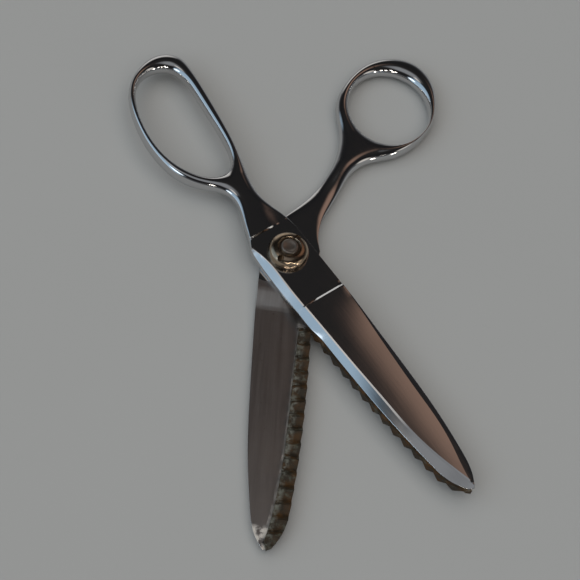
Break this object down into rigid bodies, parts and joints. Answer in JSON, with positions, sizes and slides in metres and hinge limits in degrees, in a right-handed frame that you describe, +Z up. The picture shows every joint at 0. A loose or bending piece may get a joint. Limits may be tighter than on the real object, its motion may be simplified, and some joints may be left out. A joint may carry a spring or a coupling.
{
  "type": "pinking shears",
  "caption": "Large pinking shears lying open on their side: zigzag cutting strips, long finger bow, round thumb ring and a domed pivot nut.",
  "frame": {"origin": "pivot axis, on the plane of the flat underside that the shears lie on", "axes": "+Z up along the pivot axis from the underside to the domed nut, +Y from the blades towards the bows, +X towards the thumb-ring side"},
  "size_m": [0.132, 0.2195, 0.0148],
  "materials": {
    "chrome_forging": "polished",
    "tooth_steel": "ground, lightly rusted",
    "bolt_steel": "turned, bronze tint",
    "nut_bronze": "polished, bronze tint",
    "race_steel": "ground",
    "cage_brass": "stamped"
  },
  "bodies": {
    "lower": {"lower_half": "chrome_forging", "lower_tooth_strip": "tooth_steel", "pivot_bolt": "bolt_steel", "dome_nut": "nut_bronze"},
    "upper": {"upper_half": "chrome_forging", "upper_tooth_strip": "tooth_steel", "race_washer": "race_steel"},
    "race": {"ball_cage": "cage_brass", "bearing_balls": "race_steel"}
  },
  "joints": [
    {"name": "blade_pivot", "type": "hinge", "parent": "lower", "child": "upper", "pos_m": [0, 0, 0.005], "axis": [0, 0, 1], "range_deg": [-38, 90]},
    {"name": "race_turn", "type": "hinge", "parent": "lower", "child": "race", "pos_m": [0, 0, 0.00997], "axis": [0, 0, 1], "range_deg": [-20, 46]}
  ],
  "couplings": [
    {"joint": "race_turn", "follows": "blade_pivot", "ratio": 0.5}
  ]
}
